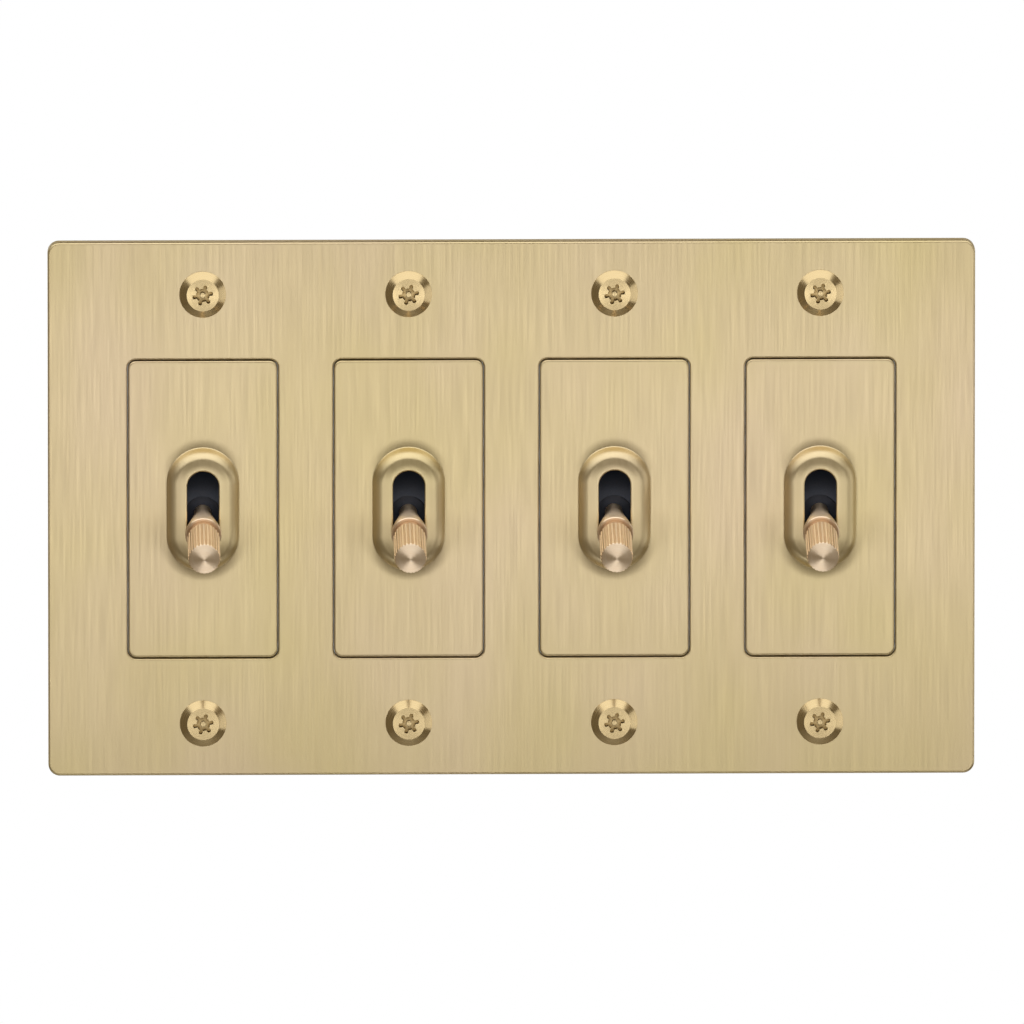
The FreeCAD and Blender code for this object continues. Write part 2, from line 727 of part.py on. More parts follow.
def make_terminals(gang):
    """Side pads tapped for a binding screw, and the strips that run in to the contacts."""
    made = []
    thickness = "terminal_thickness"
    pad_depth = "terminal_pad_back - terminal_pad_front"
    thread = "binding_shank_radius + thread_clearance"
    for label, sign in (("upper_terminal", ""), ("lower_terminal", "-")):
        name = f"{label}_{gang}"
        reach = "case_side + anvil_width / 2"
        strip = block(f"{name}_strip", reach, "terminal_width", thickness,
                      "(case_side - anvil_width / 2) / 2", f"{sign}contact_offset", "traveller_front")
        flag = block(f"{name}_flag", thickness, "terminal_pad_height", pad_depth,
                     "case_side + terminal_thickness / 2",
                     f"{sign}(contact_offset - terminal_width / 2 + terminal_pad_height / 2)",
                     "terminal_pad_front")
        tip = rod(f"{name}_tip", "contact_radius", "fixed_contact_thickness", "y",
                  "0", "fixed_contact_front", f"{sign}contact_offset")
        hole = rod(f"{name}_hole", thread, "terminal_thickness + 2 * cut_overrun", "x",
                   "case_side - cut_overrun", "terminal_pad_middle",
                   f"{sign}traveller_screw_offset")
        whole = fuse(f"{name}_blank", [strip, flag, tip])
        made.append(finish_cut(name, whole, [hole], gang))
    name = f"common_terminal_{gang}"
    bar = block(f"{name}_bar", "case_side + common_reach", "terminal_width", thickness,
                "(common_reach - case_side) / 2", "0", "common_bar_depth")
    post = block(f"{name}_post", "2 * common_reach", "2 * fulcrum_radius",
                 "common_bar_depth - fulcrum_behind_wall", "0", "0", "fulcrum_behind_wall")
    ridge = rod(f"{name}_ridge", "fulcrum_radius", "2 * common_reach", "x",
                "-common_reach", "fulcrum_behind_wall")
    flag = block(f"{name}_flag", thickness, "terminal_pad_height", pad_depth,
                 "-case_side - terminal_thickness / 2",
                 "terminal_pad_height / 2 - terminal_width / 2", "terminal_pad_front")
    hole = rod(f"{name}_hole", thread, "terminal_thickness + 2 * cut_overrun", "x",
               "-case_side - terminal_thickness - cut_overrun", "terminal_pad_middle",
               "common_screw_offset")
    whole = fuse(f"{name}_blank", [bar, post, ridge, flag])
    made.append(finish_cut(name, whole, [hole], gang))
    return made


def finish_cut(name, base, tools, gang):
    item = cut(name, base, tools)
    item.Label = name
    place_gang(item, gang)
    return item


def corner_posts(name, front, depth):
    """The four posts inside a case half that the body screws run through."""
    middle_across = "case_inner_side + housing_wall / 2 - post_width / 2"
    middle_up = "case_inner_top + housing_wall / 2 - post_height / 2"
    return [
        block(f"{name}_post", "post_width", "post_height", depth,
              f"{side}({middle_across})", f"{end}({middle_up})", front)
        for side in ("", "-") for end in ("", "-")
    ]


def screw_bores(name, front, depth):
    return [
        rod(f"{name}_bore", "body_screw_radius + body_screw_clearance", depth, "y",
            f"{side}body_screw_across", front, f"{end}body_screw_up")
        for side in ("", "-") for end in ("", "-")
    ]


def case_shell(name, depth, front):
    """The outside of a case half, with rounded corners, from a distance behind the wall."""
    body = new_body(f"{name}_shell")
    outline = new_sketch(body, "XZ_Plane", f"-({front})")
    rectangle(outline, "housing_width", "housing_height", "case_corner")
    pad(body, outline, depth, reverse=True)
    return body


def make_housing(gang):
    """Front half of the case: opening for the shield, two bearing ribs, corner posts."""
    name = f"housing_{gang}"
    shell = case_shell(name, "housing_depth", "0")
    room = block(f"{name}_room", "2 * case_inner_side", "2 * case_inner_top",
                 "housing_depth", "0", "0", "housing_front_wall")
    opening = block(f"{name}_opening", "housing_opening_width", "housing_opening_height",
                    "housing_depth", "0", "0", "-housing_front_wall")
    case = cut(f"{name}_case", shell, [room, opening])
    ribs = [
        block(f"{name}_rib", "rib_thickness", "2 * rib_half_height",
              "rib_depth - housing_front_wall / 2", f"{side}(rib_inner + rib_outer) / 2",
              "0", "housing_front_wall / 2")
        for side in ("", "-")
    ]
    posts = corner_posts(name, "housing_front_wall / 2", "housing_depth - housing_front_wall / 2")
    whole = fuse(f"{name}_blank", [case, *ribs, *posts])
    pin = rod(f"{name}_pin_bore", "pin_radius", "2 * rib_outer + rib_gap", "x",
              "-rib_outer - rib_gap / 2", "pivot_behind_wall")
    bores = screw_bores(name, "-cut_overrun", "housing_depth + 2 * cut_overrun")
    return finish_cut(name, whole, [pin, *bores], gang)


def make_cover(gang):
    """Back half of the case: anvils behind the contacts, wall notches for the terminals."""
    name = f"housing_cover_{gang}"
    shell = case_shell(name, "cover_depth", "housing_depth")
    beyond = (number("housing_width"), number("housing_height"))
    soften(shell, "case_edge_round", at_level(-number("case_depth"), *beyond))
    room = block(f"{name}_room", "2 * case_inner_side", "2 * case_inner_top",
                 "cover_depth - housing_wall", "0", "0", "housing_depth")
    case = cut(f"{name}_case", shell, [room])
    behind = "traveller_front + terminal_thickness"
    anvils = [
        block(f"{name}_anvil", "anvil_width", "terminal_width",
              f"case_depth - housing_wall / 2 - ({behind})", "0", f"{sign}contact_offset", behind)
        for sign in ("", "-")
    ]
    common_back = "common_bar_depth + terminal_thickness"
    anvils.append(block(f"{name}_anvil", "anvil_width", "terminal_width",
                        f"case_depth - housing_wall / 2 - ({common_back})", "0", "0", common_back))
    posts = corner_posts(name, "housing_depth", "cover_depth - housing_wall / 2")
    whole = fuse(f"{name}_blank", [case, *anvils, *posts])
    notch_height = "terminal_width + 2 * terminal_slot_clearance"
    tools = screw_bores(name, "housing_depth - cut_overrun", "cover_depth + 2 * cut_overrun")
    relief = ("binding_shank_radius + body_screw_clearance", "housing_wall + 2 * cut_overrun", "x")
    for sign in ("", "-"):
        tools.append(block(f"{name}_notch", "2 * housing_wall", notch_height,
                           f"{behind} + terminal_slot_clearance - housing_depth",
                           "case_side", f"{sign}contact_offset", "housing_depth"))
        tools.append(rod(f"{name}_relief", *relief, "case_inner_side - cut_overrun",
                         "terminal_pad_middle", f"{sign}traveller_screw_offset"))
    tools.append(block(f"{name}_notch", "2 * housing_wall", notch_height,
                       f"{common_back} + terminal_slot_clearance - housing_depth",
                       "-case_side", "0", "housing_depth"))
    tools.append(rod(f"{name}_relief", *relief, "-case_side - cut_overrun",
                     "terminal_pad_middle", "common_screw_offset"))
    return finish_cut(name, whole, tools, gang)


def make_yoke(gang):
    """Stamped steel strap with ears, box-screw slots and tapped holes for the plate screws."""
    body = new_body(f"yoke_{gang}")
    middle = new_sketch(body, "XZ_Plane")
    rectangle(middle, "yoke_body_width", "yoke_body_height", "yoke_corner")
    pad(body, middle, "yoke_thickness")
    neck = new_sketch(body, "XZ_Plane")
    rectangle(neck, "yoke_neck_width", "yoke_length - yoke_corner", "yoke_corner")
    pad(body, neck, "yoke_thickness")
    for end in ("", "-"):
        ear = new_sketch(body, "XZ_Plane")
        rectangle(ear, "yoke_ear_width", "yoke_ear_height", "yoke_corner",
                  "0", f"{end}(yoke_length - yoke_ear_height) / 2")
        pad(body, ear, "yoke_thickness")
    holes = new_sketch(body, "XZ_Plane", "yoke_thickness")
    rectangle(holes, "housing_opening_width", "yoke_window_height", "yoke_corner / 2")
    for end in ("", "-"):
        flat_obround(holes, "box_slot_width", "box_slot_length", "0", f"{end}box_screw_spacing / 2")
        circle(holes, "plate_screw_thread_radius + thread_clearance",
               "0", f"{end}plate_screw_spacing / 2")
        for side in ("", "-"):
            circle(holes, "body_screw_radius + body_screw_clearance",
                   f"{side}body_screw_across", f"{end}body_screw_up")
    circle(holes, "binding_shank_radius + thread_clearance", "ground_screw_across", "ground_screw_up")
    pocket(body, holes, "yoke_thickness")
    place_gang(body, gang)
    return body


def make_plate_screw():
    """Security screw: coned head, six-lobe recess left round a centre pin."""
    body = new_body("plate_screw_pattern")
    turn(body, [
        ("0", "-plate_screw_length"),
        ("plate_screw_thread_radius - screw_edge", "-plate_screw_length"),
        ("plate_screw_thread_radius", "-plate_screw_length + screw_edge"),
        ("plate_screw_thread_radius", "0"),
        ("screw_head_radius", "0"),
        ("screw_head_radius", "screw_head_edge"),
        ("screw_disc_radius", "screw_head_height"),
        ("0", "screw_head_height"),
    ])
    core = new_sketch(body, "XY_Plane", "screw_head_height")
    circle(core, "recess_core_radius")
    circle(core, "recess_pin_radius")
    pocket(body, core, "recess_depth")
    lobe = new_sketch(body, "XY_Plane", "screw_head_height")
    circle(lobe, "recess_lobe_radius",
           "recess_lobe_offset * cos(recess_turn)", "recess_lobe_offset * sin(recess_turn)")
    ring_pattern(body, pocket(body, lobe, "recess_depth"), lobe, "recess_lobe_count")
    return body


def make_slotted_screw(name, head_radius, head_height, shank_radius, shank_length):
    """Pan screw with a straight slot, head seat at its origin."""
    body = new_body(name)
    turn(body, [
        ("0", f"-({shank_length})"),
        (shank_radius, f"-({shank_length})"),
        (shank_radius, "0"),
        (head_radius, "0"),
        (head_radius, f"{head_height} - screw_edge"),
        (f"{head_radius} - screw_edge", head_height),
        ("0", head_height),
    ])
    slot = new_sketch(body, "XY_Plane", head_height)
    wide = f"{head_radius} + screw_edge"
    half = "binding_slot_width / 2"
    polygon(slot, [(f"-({wide})", f"-{half}"), (wide, f"-{half}"), (wide, half), (f"-({wide})", half)])
    pocket(body, slot, "binding_slot_depth")
    return body


def gather(name, pattern, places):
    """One node of equal fasteners, each a separate solid at its own place."""
    doc.recompute()
    copies = []
    for place in places:
        copy = pattern.Shape.copy()
        copy.Placement = place
        copies.append(copy)
    item = doc.addObject("Part::Feature", name)
    item.Shape = Part.makeCompound(copies)
    item.Label = name
    return item


def make_fasteners():
    gangs = [number(gang_across(gang)) for gang in range(1, GANGS + 1)]
    both = (1, -1)
    forward = FreeCAD.Rotation(FreeCAD.Vector(1, 0, 0), 90)
    backward = FreeCAD.Rotation(FreeCAD.Vector(1, 0, 0), -90)
    sideways = {side: FreeCAD.Rotation(FreeCAD.Vector(0, 1, 0), 90 * side) for side in both}
    front = -number("plate_depth")
    plate_up = number("plate_screw_spacing / 2")
    plate_places = [
        FreeCAD.Placement(FreeCAD.Vector(across, front, end * plate_up), forward)
        for across in gangs for end in both
    ]
    reach = number("case_side + terminal_thickness + binding_wire_gap")
    middle = number("terminal_pad_middle")
    traveller = number("traveller_screw_offset")
    sides = ((1, traveller), (1, -traveller), (-1, number("common_screw_offset")))
    terminal_places = [
        FreeCAD.Placement(FreeCAD.Vector(across + side * reach, middle, up), sideways[side])
        for across in gangs for side, up in sides
    ]
    ground = [number(f"ground_screw_{axis}") for axis in ("across", "up")]
    gap = number("binding_wire_gap")
    ground_places = [
        FreeCAD.Placement(FreeCAD.Vector(across + ground[0], gap, ground[1]), backward)
        for across in gangs
    ]
    body = [number(f"body_screw_{axis}") for axis in ("across", "up")]
    back = number("case_depth")
    body_places = [
        FreeCAD.Placement(FreeCAD.Vector(across + side * body[0], back, end * body[1]), backward)
        for across in gangs for side in both for end in both
    ]
    binding = ("binding_head_radius", "binding_head_height", "binding_shank_radius")
    terminal_screw = make_slotted_screw("terminal_screw_pattern", *binding, "binding_shank_length")
    ground_screw = make_slotted_screw("ground_screw_pattern", *binding,
                                      "yoke_thickness + binding_wire_gap - thread_clearance")
    body_screw = make_slotted_screw(
        "body_screw_pattern", "body_screw_head_radius", "body_screw_head_height",
        "body_screw_radius", "case_depth + yoke_thickness + body_screw_bite")
    return [
        gather("plate_screws", make_plate_screw(), plate_places),
        gather("terminal_screws", terminal_screw, terminal_places),
        gather("ground_screws", ground_screw, ground_places),
        gather("body_screws", body_screw, body_places),
    ]


def check_and_export(nodes):
    """Stops on any failed object or bad solid, then writes one file for each node."""
    doc.recompute()
    for item in doc.Objects:
        if {"Invalid", "Error"} & set(item.State):
            raise RuntimeError(f"{item.Name} failed: {item.State}")
    for node in nodes:
        if node.Shape.isNull() or not node.Shape.isValid():
            raise RuntimeError(f"{node.Label} has no valid shape")
    os.makedirs("parts", exist_ok=True)
    for node in nodes:
        node.Shape.exportStep(f"parts/{node.Label}.step")
        box = node.Shape.BoundBox
        print(f"{node.Label:24s} {len(node.Shape.Solids):3d} solids {node.Shape.Volume:10.2f} mm3"
              f"  y {box.YMin:7.2f} to {box.YMax:7.2f}")


fill_sheet()
nodes = [make_face_plate()]
for gang in range(1, GANGS + 1):
    nodes += [
        make_insert_plate(gang),
        make_lever(gang),
        make_cradle(gang),
        make_pivot_pin(gang),
        make_plunger(gang),
        make_spring(gang),
        make_bridge(gang),
        *make_terminals(gang),
        make_housing(gang),
        make_cover(gang),
        make_yoke(gang),
    ]
nodes += make_fasteners()
check_and_export(nodes)
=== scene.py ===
"""Looks of a four-gang brass dolly switch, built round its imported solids.

Sizes are millimetres and degrees, as in the solids' own drawing, and become metres and radians where
a mesh is made. X runs along the gangs, Z is up and the front faces -Y. A level is a distance in front
of the wall, so y = -level. Stage, lamps and camera are placed in metres.
"""

import math

import bpy
import numpy as np
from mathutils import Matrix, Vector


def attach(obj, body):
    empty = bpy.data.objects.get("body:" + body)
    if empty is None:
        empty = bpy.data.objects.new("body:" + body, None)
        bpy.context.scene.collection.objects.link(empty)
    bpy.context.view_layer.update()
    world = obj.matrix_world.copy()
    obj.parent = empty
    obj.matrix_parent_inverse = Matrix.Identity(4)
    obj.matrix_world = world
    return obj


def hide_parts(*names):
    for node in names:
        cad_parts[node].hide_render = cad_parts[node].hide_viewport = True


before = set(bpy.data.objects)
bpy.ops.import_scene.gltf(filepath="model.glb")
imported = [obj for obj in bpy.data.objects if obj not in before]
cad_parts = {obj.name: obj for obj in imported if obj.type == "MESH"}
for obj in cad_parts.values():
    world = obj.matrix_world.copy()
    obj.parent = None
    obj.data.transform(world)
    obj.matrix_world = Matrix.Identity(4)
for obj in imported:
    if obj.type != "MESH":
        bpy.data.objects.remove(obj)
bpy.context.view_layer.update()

MM = 0.001
GANGS = 4
PITCH = 46.04
PLATE_LEVEL = 4.0


def middle_of(gang):
    """X of a gang's middle: (gang - middle number) x pitch, with gang 1 on the left."""
    return (gang - (GANGS + 1) / 2) * PITCH


# Meshes

QUAD_CORNERS = ((0, 0), (0, 1), (1, 1), (1, 0))  # rows up and columns along, for each corner of a quad
CREASE = 32.0


def row_faces(rows, columns, joined):
    """Quads between rings of points, where point j of ring i has the number i x columns + j.

    Each ring closes on itself, and where they are joined, the last ring meets the first.
    """
    row = np.arange(rows if joined else rows - 1)[:, None]
    column = np.arange(columns)[None, :]
    corners = [(row + up) % rows * columns + (column + along) % columns for up, along in QUAD_CORNERS]
    return np.stack(corners, -1).reshape(-1, 4)


def row_marks(lengths, columns):
    """UV of the same quads: U is the share of the way round, V the length along the profile."""
    row = np.arange(len(lengths) - 1)[:, None]
    column = np.arange(columns)[None, :]
    corners = [
        np.stack(np.broadcast_arrays((column + along) / columns, lengths[row + up]), -1)
        for up, along in QUAD_CORNERS
    ]
    return np.stack(corners, -2).reshape(-1, 2)


def turned_surface(radii, heights):
    """Points, faces and marks of a turned solid whose first and last rows close on the axis.

    A point is (r cos a, r sin a, h), with its row's height h and the radius r that the row has at
    angle a. Row radii may differ from column to column, which makes flutes and lobes. heights has
    one more at each end, for the poles. Rows that run up the outside give faces that point outwards.
    """
    rows, columns = radii.shape
    angle = np.arange(columns) * 2 * np.pi / columns
    up = np.broadcast_to(heights[1:-1, None], radii.shape)
    grid = np.stack([radii * np.cos(angle), radii * np.sin(angle), up], -1)
    poles = [[0.0, 0.0, heights[0]], [0.0, 0.0, heights[-1]]]
    mean = np.concatenate([[0.0], radii.mean(1), [0.0]])
    lengths = np.concatenate([[0.0], np.cumsum(np.hypot(np.diff(mean), np.diff(heights)))])
    faces = [row_faces(rows, columns, joined=False)]
    marks = [row_marks(lengths[1:-1], columns)]
    column = np.arange(columns)
    share = column / columns
    caps = (
        (rows * columns, 0, lengths[0], lengths[1], (0, 2, 1)),
        (rows * columns + 1, (rows - 1) * columns, lengths[-1], lengths[-2], (0, 1, 2)),
    )
    for pole, rim, pole_length, rim_length, order in caps:
        fan = np.stack([np.full(columns, pole), rim + column, rim + (column + 1) % columns], -1)
        corners = np.stack([
            np.stack([share + 0.5 / columns, np.full(columns, pole_length)], -1),
            np.stack([share, np.full(columns, rim_length)], -1),
            np.stack([share + 1 / columns, np.full(columns, rim_length)], -1),
        ], 1)
        faces.append(fan[:, order])
        marks.append(corners[:, order].reshape(-1, 2))
    return np.concatenate([grid.reshape(-1, 3), poles]), faces, np.concatenate(marks)


def arc(centre, radius, start, end, steps):
    """Points of a circle's arc in a profile: centre + radius (cos, sin) from start to end degrees."""
    angle = np.radians(np.linspace(start, end, steps))
    return np.stack([centre[0] + radius * np.cos(angle), centre[1] + radius * np.sin(angle)], -1)


def from_nearest(angle, count, first=0.0):
    """Angle from the middle of the nearest of so many equal features round an axis."""
    pitch = 2 * np.pi / count
    return (angle - first + pitch / 2) % pitch - pitch / 2


def reach(angle, cutter, centre, side, elsewhere):
    """Distance from the axis at which a ray at an angle meets a cutter's circle, t round a centre at c.

    It is c cos a + side sqrt(t^2 - (c sin a)^2), with side -1 for the near and 1 for the far meeting,
    and elsewhere for a ray that misses.
    """
    inside = cutter**2 - (centre * np.sin(angle)) ** 2
    met = centre * np.cos(angle) + side * np.sqrt(np.maximum(inside, 0))
    return np.where(inside > 0, met, elsewhere)


def new_piece(name, points, faces, marks, body, slot, finish, hollow_skin_and_shade=None):
    """A mesh object with smooth shading up to the crease angle, which moves with a body.

    faces is a list of arrays of corner numbers. The last argument gives each point a share of painted
    shade over a darker skin, from 0 to 1 by how deep in a flute or recess it lies.
    """
    mesh = bpy.data.meshes.new(name)
    mesh.from_pydata((points * MM).tolist(), [], [corners for part in faces for corners in part.tolist()])
    mesh.uv_layers.new(name="marks").data.foreach_set("uv", marks.astype(np.float32).ravel())
    if hollow_skin_and_shade is not None:
        shade_shares = mesh.attributes.new("hollow_skin_and_shade", "FLOAT", "POINT").data
        shade_shares.foreach_set("value", hollow_skin_and_shade.astype(np.float32))
    mesh.shade_smooth()
    mesh.set_sharp_from_angle(angle=math.radians(CREASE))
    mesh.materials.append(finish)
    piece = bpy.data.objects.new(name, mesh)
    bpy.context.scene.collection.objects.link(piece)
    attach(piece, body)
    return piece


# Finishes


def linear(colour):
    """Scene-linear colour of an sRGB hex code, by the sRGB transfer curve."""
    parts = np.array([int(colour[i:i + 2], 16) for i in (1, 3, 5)]) / 255
    curve = np.where(parts <= 0.04045, parts / 12.92, ((parts + 0.055) / 1.055) ** 2.4)
    return (*curve.tolist(), 1.0)


def add(tree, kind, settings=None, **inputs):
    """One node. settings are its own properties, and inputs are links or values.

    An input has its socket's name, with _ for a space, or in and the socket's number.
    """
    node = tree.nodes.new(kind)
    for name, value in (settings or {}).items():
        setattr(node, name, value)
    for name, value in inputs.items():
        number = name.removeprefix("in")
        socket = node.inputs[int(number) if number.isdigit() else name.replace("_", " ")]
        if isinstance(value, bpy.types.NodeSocket):
            tree.links.new(value, socket)
        else:
            socket.default_value = value
    return node


def finish_of(name, build):
    """A material whose surface is the last node that build makes."""
    made = bpy.data.materials.new(name)
    made.use_nodes = True
    tree = made.node_tree
    tree.nodes.clear()
    add(tree, "ShaderNodeOutputMaterial", Surface=build(tree).outputs[0])
    return made


def uneven(tree, place, per_mm, detail=2.0):
    """An uneven pattern with its own number of features per millimetre along X, Y and Z."""
    stretched = add(tree, "ShaderNodeMapping", Vector=place, Scale=[count / MM for count in per_mm])
    made = add(tree, "ShaderNodeTexNoise", Vector=stretched.outputs[0], Scale=1.0, Detail=detail)
    return made.outputs[0]


def spread(tree, pattern, low, high):
    """Brings the middle of an uneven pattern, where nearly all of it lies, to a range."""
    middle = {"From_Min": 0.3, "From_Max": 0.7}
    return add(tree, "ShaderNodeMapRange", Value=pattern, **middle, To_Min=low, To_Max=high).outputs[0]


def mixed(tree, share, one, other):
    """A colour between two, each given as an sRGB code or a link."""
    one, other = (linear(end) if isinstance(end, str) else end for end in (one, other))
    made = add(tree, "ShaderNodeMix", {"data_type": "RGBA"}, in0=share, in6=one, in7=other)
    return made.outputs[2]


def across_lines(tree):
    """Direction across the brush lines: level on upright faces, along Y on the top and bottom edges.

    It is the face's normal crossed with an axis that leans from upright by a hair along X.
    """
    normal = add(tree, "ShaderNodeNewGeometry").outputs["Normal"]
    leaning = (0.01, 0.0, 1.0)
    across = add(tree, "ShaderNodeVectorMath", {"operation": "CROSS_PRODUCT"}, in0=normal, in1=leaning)
    return across.outputs[0]


def along_marks(tree):
    """Direction in which U of a piece's own marks grows."""
    return add(tree, "ShaderNodeTangent", {"direction_type": "UV_MAP", "uv_map": "marks"}).outputs[0]


def brushed_brass(tangent):
    """Satin brass sheet: fine upright brush lines over a slow change of tone.

    Real brush lines are some hundredths of a millimetre apart. These are 0.3 mm wide and 17 mm long,
    in bands of 0.8 mm, so that they show.
    """
    def build(tree):
        place = add(tree, "ShaderNodeTexCoord").outputs["Object"]
        lines = uneven(tree, place, (3.0, 3.0, 0.06), detail=4.0)
        bands = uneven(tree, place, (1.2, 1.2, 0.015), detail=3.0)
        # The polish changes over 25 mm along the plate and 80 mm up it, the hue over 30 to 50 mm.
        cloud = uneven(tree, place, (0.04, 0.04, 0.012))
        patches = uneven(tree, place, (0.03, 0.03, 0.02))
        tone = 0.0
        for pattern, share in ((lines, 0.4), (bands, 0.22), (cloud, 0.3)):
            tone = add(tree, "ShaderNodeMath", in0=tone, in1=spread(tree, pattern, 0.0, share)).outputs[0]
        yellower = mixed(tree, tone, "#C9B98B", "#D6C79B")
        redder = mixed(tree, tone, "#CCBA97", "#DAC8A9")
        bump = add(tree, "ShaderNodeBump", Height=lines, Strength=0.1, Distance=0.02 * MM)
        return add(
            tree, "ShaderNodeBsdfPrincipled", Metallic=1.0, Anisotropic=0.75,
            Base_Color=mixed(tree, spread(tree, patches, 0.0, 1.0), yellower, redder),
            Roughness=spread(tree, lines, 0.38, 0.46), Tangent=tangent(tree), Normal=bump.outputs[0],
        )
    return build


def turned_brass(one, other, skin_and_shade_colour, roughness, anisotropic):
    """Turned brass: fine rings from the tool round the axis, so the light runs across them.

    The rings are about 0.1 mm apart, as V counts millimetres. Flutes and recesses get painted shade,
    over a darker skin that polishing doesn't reach.
    """
    def build(tree):
        marks = add(tree, "ShaderNodeUVMap", {"uv_map": "marks"}).outputs[0]
        stretched = add(tree, "ShaderNodeMapping", Vector=marks, Scale=(3.0, 9.0, 1.0))
        rings = add(tree, "ShaderNodeTexNoise", {"noise_dimensions": "2D"}, Vector=stretched.outputs[0],
                    Scale=1.0, Detail=3.0).outputs[0]
        bump = add(tree, "ShaderNodeBump", Height=rings, Strength=0.08, Distance=0.02 * MM)
        # The share of painted shade in flutes and recesses, which darkens the brass towards the hollow
        # colour.
        hollow_skin_and_shade = add(tree, "ShaderNodeAttribute", {"attribute_name": "hollow_skin_and_shade"}).outputs["Fac"]
        outside = mixed(tree, spread(tree, rings, 0.0, 1.0), one, other)
        return add(
            tree, "ShaderNodeBsdfPrincipled", Metallic=1.0, Anisotropic=anisotropic,
            Base_Color=mixed(tree, hollow_skin_and_shade, outside, skin_and_shade_colour),
            Roughness=spread(tree, rings, roughness - 0.04, roughness + 0.04),
            Anisotropic_Rotation=0.25, Tangent=along_marks(tree), Normal=bump.outputs[0],
        )
    return build


def moulding(one, other, roughness):
    """Moulded plastic with the faint grain, 0.25 mm coarse, of a spark-eroded tool."""
    def build(tree):
        place = add(tree, "ShaderNodeTexCoord").outputs["Object"]
        grain = uneven(tree, place, (4.0, 4.0, 4.0), detail=3.0)
        bump = add(tree, "ShaderNodeBump", Height=grain, Strength=0.12, Distance=0.03 * MM)
        return add(
            tree, "ShaderNodeBsdfPrincipled",
            Base_Color=mixed(tree, spread(tree, grain, 0.0, 1.0), one, other),
            Roughness=spread(tree, grain, roughness - 0.05, roughness + 0.05), Normal=bump.outputs[0],
        )
    return build


def sheet_metal(one, other, roughness):
    """Rolled or plated metal: tone in clouds of 3 mm, and gloss in upright specks of 0.2 by 3 mm."""
    def build(tree):
        place = add(tree, "ShaderNodeTexCoord").outputs["Object"]
        cloud = uneven(tree, place, (0.35, 0.35, 0.35), detail=4.0)
        gloss = uneven(tree, place, (5.0, 5.0, 0.3))
        return add(
            tree, "ShaderNodeBsdfPrincipled", Metallic=1.0,
            Base_Color=mixed(tree, spread(tree, cloud, 0.0, 1.0), one, other),
            Roughness=spread(tree, gloss, roughness - 0.04, roughness + 0.06),
        )
    return build


FINISHES = {
    # Brushed brass glows softly, because its upright lines draw each light out sideways.
    "brushed_brass": finish_of("satin_brass_sheet", brushed_brass(across_lines)),
    "pressed_brass": finish_of("satin_brass_pressing", brushed_brass(along_marks)),
    # Turned brass fans the light out on a face and draws it along a barrel. Its colour in hollows is
    # painted shade over a darker skin.
    "turned_brass": finish_of("turned_brass", turned_brass(
        "#F0D8B8", "#F8E6CE", skin_and_shade_colour="#C9A47C", roughness=0.4, anisotropic=0.8)),
    "screw_brass": finish_of("turned_screw_brass", turned_brass(
        "#BCA87E", "#CAB68C", skin_and_shade_colour="#7A633B", roughness=0.28, anisotropic=0.6)),
    # Mouldings are dull, with wide weak highlights.
    "shield_moulding": finish_of("dark_shield_moulding", moulding("#3A4151", "#444C5E", 0.6)),
    "case_moulding": finish_of("black_case_moulding", moulding("#2B2B2D", "#343437", 0.5)),
    "plunger_moulding": finish_of("pale_plunger_moulding", moulding("#DAD7CD", "#E4E1D8", 0.4)),
    # Stamped and plated metal mirrors a blurred room, sharper where it is brighter plated.
    "contact_brass": finish_of("stamped_brass", sheet_metal("#C9A663", "#D8B877", 0.3)),
    "zinced_steel": finish_of("zinced_steel", sheet_metal("#B4B7B8", "#CBCDCE", 0.38)),
    "bright_steel": finish_of("bright_steel", sheet_metal("#C4C5C6", "#D2D3D4", 0.24)),
    "green_steel": finish_of("green_steel", sheet_metal("#2F7448", "#3B8455", 0.4)),
}
NODE_FINISHES = {
    "face_plate": "brushed_brass",
    "cradle": "shield_moulding",
    "pivot_pin": "bright_steel",
    "plunger": "plunger_moulding",
    "plunger_spring": "bright_steel",
    "contact_bridge": "contact_brass",
    "upper_terminal": "contact_brass",
    "lower_terminal": "contact_brass",
    "common_terminal": "contact_brass",
    "housing": "case_moulding",
    "housing_cover": "case_moulding",
    "yoke": "zinced_steel",
    "terminal_screws": "contact_brass",
    "ground_screws": "green_steel",
    "body_screws": "bright_steel",
}
for node_name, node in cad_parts.items():
    kind = node_name.rstrip("0123456789").rstrip("_")
    if kind in NODE_FINISHES:
        node.data.materials.clear()
        node.data.materials.append(FINISHES[NODE_FINISHES[kind]])


# Insert plates with their pressed bosses

INSERT_HALF = (16.65, 33.5)
INSERT_CORNER = 1.75
INSERT_BACK = 1.6
EDGE_ROUND = 0.4
BOSS_HALF = (8.4, 14.2)
BOSS_LEVEL = 7.4
SLOT_HALF = (3.575, 8.95)
POCKET_HALF = (5.6, 9.8)
POCKET_CORNER = 3.0
POCKET_LEVEL = 4.6
END_FLAT = 0.01  # half the flat at the ends of boss and slot, which keeps neighbouring points apart
RUN_OUT = 17.24
FOOT_ROUND = 0.35
SHOULDER_ROUND = 2.6
LIP_ROUND = 0.25
CORNER_STEPS = 16
UPRIGHT_STEPS = 14
LEVEL_STEPS = 2
MARK_SPAN = 50.0


